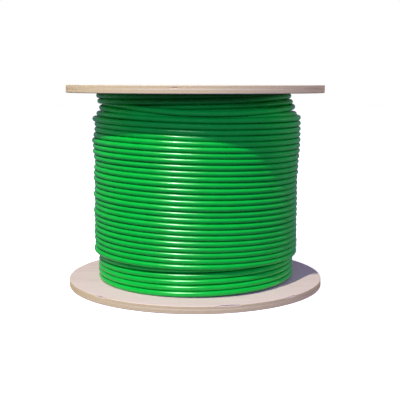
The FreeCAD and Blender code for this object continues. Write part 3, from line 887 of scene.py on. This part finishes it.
# Short splits in the rim: degrees, length in degrees, height and depth in mm.
LOWER_SPLITS = (
    (284, 9.0, 11.0, 3.4),
    (314, 4.5, 11.0, 2.6),
    (227, 6.0, 10.9, 2.6),
    (40, 5.0, 6.0, 1.6),
    (118, 6.0, 10.3, 1.5),
)
UPPER_SPLITS = (
    (262, 3.0, 7.8, 0.8),
    (15, 5.0, 2.0, 1.5),
    (150, 7.0, 10.4, 1.6),
)


def rim_profile():
    """Heights and insets of the rows across the rim, with both edges eased."""
    rows = np.linspace(0, FLANGE_THICKNESS, RIM_ROWS)
    heights = []
    insets = []
    for angle in np.linspace(0, math.pi / 2, 5):
        heights.append(EDGE_ROUND * (1 - math.cos(angle)))
        insets.append(EDGE_ROUND * (1 - math.sin(angle)))
    middle = [z for z in rows if EDGE_ROUND < z < FLANGE_THICKNESS - EDGE_ROUND]
    all_heights = [*heights, *middle, *[FLANGE_THICKNESS - z for z in reversed(heights)]]
    all_insets = [*insets, *[0.0] * len(middle), *reversed(insets)]
    return np.array(all_heights), np.array(all_insets)


def rim_relief(angles, heights, splits, seed):
    """How far the rim stands in at each row and angle: plies, saw marks and splits."""
    maker = np.random.default_rng(seed)
    depth = heights / FLANGE_THICKNESS
    relief = np.zeros((len(heights), len(angles)))
    for edge in PLY_EDGES:
        relief += 0.10 * MM * np.exp(-(((depth - edge) / 0.02) ** 2))[:, None]
    for ply in range(len(PLY_EDGES) + 1):
        low = 0 if ply == 0 else PLY_EDGES[ply - 1]
        high = 1.01 if ply == len(PLY_EDGES) else PLY_EDGES[ply]
        inside = ((depth >= low) & (depth < high))[:, None]
        facing = np.cos(angles) ** 2 if ply % 2 == 0 else np.sin(angles) ** 2
        fuzz = maker.normal(0, 0.035 * MM, (len(heights), len(angles)))
        relief += inside * facing[None, :] * (0.06 * MM + fuzz)
    for _ in range(3):
        count = maker.integers(2, 9)
        relief += 0.03 * MM * np.cos(count * angles + maker.uniform(0, 6.28))[None, :]
    for middle, length, height, depth_in in splits:
        turned = (np.degrees(angles) - middle + 180) % 360 - 180
        along = np.clip(1 - (2 * turned / length) ** 2, 0, 1) ** 0.5
        wavy = height * MM + 0.25 * MM * np.sin(turned * 1.7)
        across = np.exp(-(((heights[:, None] - wavy[None, :]) / (0.5 * MM)) ** 2))
        relief += depth_in * MM * along[None, :] * across
    return relief


def flange_blank(name, base, splits, seed):
    """A plywood disc as a closed mesh, with its rim in relief."""
    angles = np.linspace(0, 2 * math.pi, RIM_SEGMENTS, endpoint=False)
    heights, insets = rim_profile()
    relief = rim_relief(angles, heights, splits, seed)
    relief[0] = relief[-1] = 0
    radius = FLANGE_RADIUS - 0.06 * MM - insets[:, None] - np.maximum(relief, -0.05 * MM)
    height = np.broadcast_to(heights[:, None] + base, radius.shape)
    vertices = np.stack([radius * np.cos(angles), radius * np.sin(angles), height], -1)
    faces = grid_faces(len(heights), RIM_SEGMENTS)
    return mesh_object(name, vertices.reshape(-1, 3), faces, 32)


def turned_cutter(name, centre, profile, segments=64):
    """A closed solid of revolution to cut with: profile is (radius, height) from the bottom."""
    vertices = lathe_rings(profile, segments) + np.array([*centre, 0])
    return mesh_object(name, vertices, grid_faces(len(profile), segments))


def slot_outline(x_low, x_high, y, width, height, count=24):
    """A ring of points round a straight slot with round ends."""
    half = width / 2
    right = np.linspace(-math.pi / 2, math.pi / 2, count)
    left = right + math.pi
    xs = np.concatenate([x_high - half + half * np.cos(right), x_low + half + half * np.cos(left)])
    ys = np.concatenate([half * np.sin(right), half * np.sin(left)]) + y
    return np.stack([xs, ys, np.full_like(xs, height)], -1)


def slot_cutter(name, x_low, low, high):
    """A cutter as wide as the start slot, from x_low to where the slot starts."""
    outline = (x_low, SLOT_START, -START_OFFSET, SLOT_WIDTH)
    rings = [slot_outline(*outline, z) for z in (low, high)]
    return mesh_object(name, np.concatenate(rings), grid_faces(2, len(rings[0])))


def subtract(base, cutters):
    """Cuts the cutters out of base, and removes them."""
    for cutter in cutters:
        cut = base.modifiers.new("cut", "BOOLEAN")
        cut.operation = "DIFFERENCE"
        cut.solver = "EXACT"
        cut.object = cutter
    bpy.context.view_layer.update()
    graph = bpy.context.evaluated_depsgraph_get()
    mesh = bpy.data.meshes.new_from_object(base.evaluated_get(graph))
    base.modifiers.clear()
    base.data = mesh
    for cutter in cutters:
        bpy.data.objects.remove(cutter)
    mesh.shade_smooth()
    mesh.set_sharp_from_angle(angle=math.radians(32))


def places(node, first_angle, count=4):
    """The centres, in plan, of count fasteners spaced evenly in one CAD node."""
    points = np.array([v.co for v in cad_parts[node].data.vertices])
    found = []
    for index in range(count):
        angle = math.radians(first_angle + index * FULL_TURN / count)
        near = points[:, 0] * math.cos(angle) + points[:, 1] * math.sin(angle)
        far = np.abs(points[:, 1] * math.cos(angle) - points[:, 0] * math.sin(angle))
        own = points[near > far * 1.001]
        found.append(((own.min(0) + own.max(0)) / 2)[:2])
    return found


SCREW_PLACES = places("lower_bush_screws", 0)
BOLT_PLACES = places("tie_bolts", 45)


def recessed_hole(recess, depth, hole, lead, through):
    """A hole's (radius, depth) points, from outside the face to past the far one."""
    mouth = [(recess, -1.0)]
    if lead:
        mouth = [(recess + lead, -1.0), (recess + lead, 0.0), (recess, lead)]
    return [*mouth, (recess, depth), (hole, depth), (hole, through)]


def flange_cutters(prefix, outer, inward, fastener_hole):
    """Cutters for the holes that both flanges have. outer is the outer face's height."""
    def profile(points):
        made = [(r * MM, outer + inward * z * MM) for r, z in points]
        return made if inward > 0 else made[::-1]

    through = FLANGE_THICKNESS / MM + 1.0
    mouth = DRIVE_HOLE_RADIUS + DRIVE_HOLE_LEAD
    drive = [(mouth, -1.0), (mouth, 0.0)]
    drive += [(DRIVE_HOLE_RADIUS, DRIVE_HOLE_LEAD), (DRIVE_HOLE_RADIUS, through)]
    bush = profile(recessed_hole(*BUSH_HOLE, 0, through))
    fastener = profile(recessed_hole(*fastener_hole, RECESS_LEAD, through))
    cutters = [
        turned_cutter(f"{prefix}_arbor", (0, 0), bush, 128),
        turned_cutter(f"{prefix}_drive", DRIVE_HOLE_PLACE, profile(drive)),
    ]
    for index, place in enumerate(BOLT_PLACES):
        cutters.append(turned_cutter(f"{prefix}_bolt_{index}", place, fastener))
    return cutters


def turned_ring(name, loop, segments):
    """A closed ring: loop is its (radius, height) section, counter-clockwise."""
    faces = grid_faces(len(loop), segments)[:-2]
    side = np.arange(segments)
    after = (side + 1) % segments
    last = (len(loop) - 1) * segments
    faces += np.stack([last + side, last + after, after, side], -1).tolist()
    return mesh_object(name, lathe_rings(loop, segments), faces)


def seat_cutter(prefix, inner_face, inward):
    """The ring groove that the drum tube's end sits in."""
    low, high = sorted((inner_face - inward * 5.0 * MM, inner_face + inward * 1.0 * MM))
    outer = DRUM_RADIUS + 0.15 * MM
    inner = DRUM_RADIUS - 6.5 * MM
    loop = [(outer, low), (outer, high), (inner, high), (inner, low)]
    return turned_ring(f"{prefix}_seat", loop, 128)


def box_cutter(name, centre, sizes, turn=0.0):
    square = ((-1, -1), (1, -1), (1, 1), (-1, 1))
    corners = np.array([(x, y, z) for z in (-1, 1) for x, y in square]) / 2
    spin = Matrix.Rotation(math.radians(turn), 3, "Z")
    corners = (corners * sizes + centre) @ np.array(spin).T
    return mesh_object(name, corners, grid_faces(2, 4))


def repeated(name, single, centres):
    """One mesh with a copy of single round each centre, turned a little from one to the next."""
    points = np.array([vertex.co for vertex in single.data.vertices])
    polygons = [list(polygon.vertices) for polygon in single.data.polygons]
    vertices = []
    faces = []
    for index, centre in enumerate(centres):
        turn = np.array(Matrix.Rotation(0.7 * index, 3, "Z"))
        faces += [[index * len(points) + corner for corner in polygon] for polygon in polygons]
        vertices.append(points @ turn.T + np.array([*centre, 0]))
    bpy.data.objects.remove(single)
    return mesh_object(name, np.concatenate(vertices), faces, 32)


def make_bush_screws(node, material):
    """Countersunk screws with a cross recess, as long as the CAD ones."""
    low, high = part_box(node)
    head, tip, way = (high.z, low.z, 1) if node.startswith("upper") else (low.z, high.z, -1)
    profile = [(0.2, 0.0), (1.25, 1.8)]
    for rise in np.arange(2.0, 7.0, 0.7):
        profile += [(1.22, rise), (1.48, rise + 0.3)]
    profile += [(1.45, 7.2), (3.2, 8.8), (3.25, 9.0)]
    points = [(r * MM, tip + way * z * MM) for r, z in profile]
    screw = mesh_object(node, lathe_rings(points[::way], 40), grid_faces(len(points), 40))
    sizes = (3.5 * MM, 0.75 * MM, 2.4 * MM)
    subtract(screw, [box_cutter(f"cross_{turn}", (0, 0, head), sizes, turn) for turn in (45, 135)])
    piece = repeated(f"{node}_turned", screw, SCREW_PLACES)
    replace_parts(finish(piece, material), node)


def make_tee_nuts(material):
    """Stamped tee nuts: a rim with three punched prong slots round a tapped barrel."""
    low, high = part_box("tee_nuts")
    shelf = high.z - 1.4 * MM
    bore = [(4.05 * MM, high.z - 0.5 * MM)]
    for drop in np.arange(1.0, 9.0, 0.8):
        bore += [(4.3 * MM, high.z - drop * MM), (4.05 * MM, high.z - (drop + 0.4) * MM)]
    outside = [(5.0, low.z), (5.0, shelf), (10.0, shelf), (10.0, high.z - 0.3 * MM)]
    loop = [(radius * MM, height) for radius, height in outside]
    loop += [(9.7 * MM, high.z), (5.2 * MM, high.z), (4.6 * MM, high.z - 0.1 * MM)]
    loop += [*bore, (4.2 * MM, low.z)]
    nut = turned_ring("tee_nut", loop, 64)
    place = (7.4 * MM, 0, high.z - 0.7 * MM)
    sizes = (1.3 * MM, 4.2 * MM, 2.4 * MM)
    subtract(nut, [box_cutter(f"prong_{turn}", place, sizes, turn) for turn in (0, 120, 240)])
    piece = repeated("tee_nuts_stamped", nut, BOLT_PLACES)
    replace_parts(finish(piece, material), "tee_nuts")


def make_tie_bolts(material):
    """Flat-headed bolts with a hexagon socket, threaded where the tee nuts hold them."""
    low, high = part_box("tie_bolts")
    head = low.z + 2.3 * MM
    shank = 3.9 * MM
    profile = [(11.6 * MM, low.z), (11.95 * MM, low.z + 0.4 * MM), (11.95 * MM, head - 0.2 * MM)]
    profile += [(11.7 * MM, head), (shank, head), (shank, high.z - 30 * MM)]
    for rise in np.arange(high.z - 29 * MM, high.z - 1.2 * MM, 1.0 * MM):
        profile += [(3.55 * MM, rise), (shank, rise + 0.5 * MM)]
    profile += [(3.5 * MM, high.z - 0.3 * MM), (3.1 * MM, high.z)]
    bolt = mesh_object("tie_bolt", lathe_rings(profile, 64), grid_faces(len(profile), 64))
    socket = [(3.4 * MM, low.z - 1 * MM), (3.4 * MM, low.z + 1.7 * MM)]
    cutter = mesh_object("socket", lathe_rings(socket, 6), grid_faces(2, 6))
    subtract(bolt, [cutter])
    piece = repeated("tie_bolts_turned", bolt, BOLT_PLACES)
    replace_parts(finish(piece, material), "tie_bolts")


def make_flanges():
    """Both plywood discs, with their holes cut."""
    lower_tint = srgb(208, 192, 174)
    # The upper flange's veneer tint is painted light: it is yellower than the lower's to offset
    # the violet sky light that falls on its open top face.
    upper_tint_offsetting_sky = srgb(200, 190, 158)
    upper_base = INNER_FACE_HIGH
    lower_wood = plywood_material("lower_plywood", 0.0, (0.0, 0.0, 0.0), lower_tint)
    upper_wood = plywood_material("upper_plywood", upper_base, (0.31, 0.17, 0.4), upper_tint_offsetting_sky)

    lower = flange_blank("lower_flange_plywood", 0.0, LOWER_SPLITS, 21)
    cutters = flange_cutters("low", 0.0, 1, BOLT_HOLE)
    cutters.append(seat_cutter("low", INNER_FACE_LOW, 1))
    cutters.append(slot_cutter("low_groove", GROOVE_END, -1 * MM, GROOVE_DEPTH))
    cutters.append(slot_cutter("low_slot", SLOT_END, -2 * MM, SLOT_TOP))
    subtract(lower, cutters)
    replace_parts(finish(lower, lower_wood), "lower_flange")

    upper = flange_blank("upper_flange_plywood", upper_base, UPPER_SPLITS, 22)
    cutters = flange_cutters("top", OVERALL_WIDTH, -1, NUT_HOLE)
    cutters.append(seat_cutter("top", INNER_FACE_HIGH, -1))
    subtract(upper, cutters)
    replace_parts(finish(upper, upper_wood), "upper_flange")


def paint_carried_nodes(jacket):
    """Better materials for the CAD nodes that stay as they are."""
    paper = paperboard_material()
    moulded = moulded_material()
    wanted = {"drum_tube": paper, "lower_arbor_bush": moulded, "upper_arbor_bush": moulded}
    wanted["finish_tail_staples"] = wire_material()
    wanted.update({f"cable_layer_{number:02d}": jacket for number in range(1, 10)})
    for node, material in wanted.items():
        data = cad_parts[node].data
        data.materials.clear()
        data.materials.append(material)


bpy.context.scene.view_settings.view_transform = "Standard"
add_camera()
add_world()
add_lamp("key", -28, 54, 6.0, (0.22, 0.22), 400, (1.0, 0.975, 0.88))
add_lamp("key_gloss", -23, 54, 6.0, (3.3, 1.5), 440, (1.0, 1.0, 1.0), lights=False)
add_lamp("fill", 0, 20, 4.0, (1.8, 1.0), 50, (0.74, 0.94, 2.5), mirrored=False)
add_lamp("left", -112, 3, 3.0, (1.6, 1.6), 34, (1.0, 1.0, 1.05), mirrored=False)
add_lamp("right", 112, 3, 3.0, (1.6, 1.6), 40, (1.0, 1.0, 1.05), mirrored=False)
add_floor()
green_jacket = jacket_material()
make_winding(green_jacket)
make_tails(green_jacket)
make_flanges()
zinc = zinc_material()
make_bush_screws("lower_bush_screws", zinc)
make_bush_screws("upper_bush_screws", zinc)
make_tee_nuts(zinc)
make_tie_bolts(zinc)
paint_carried_nodes(green_jacket)
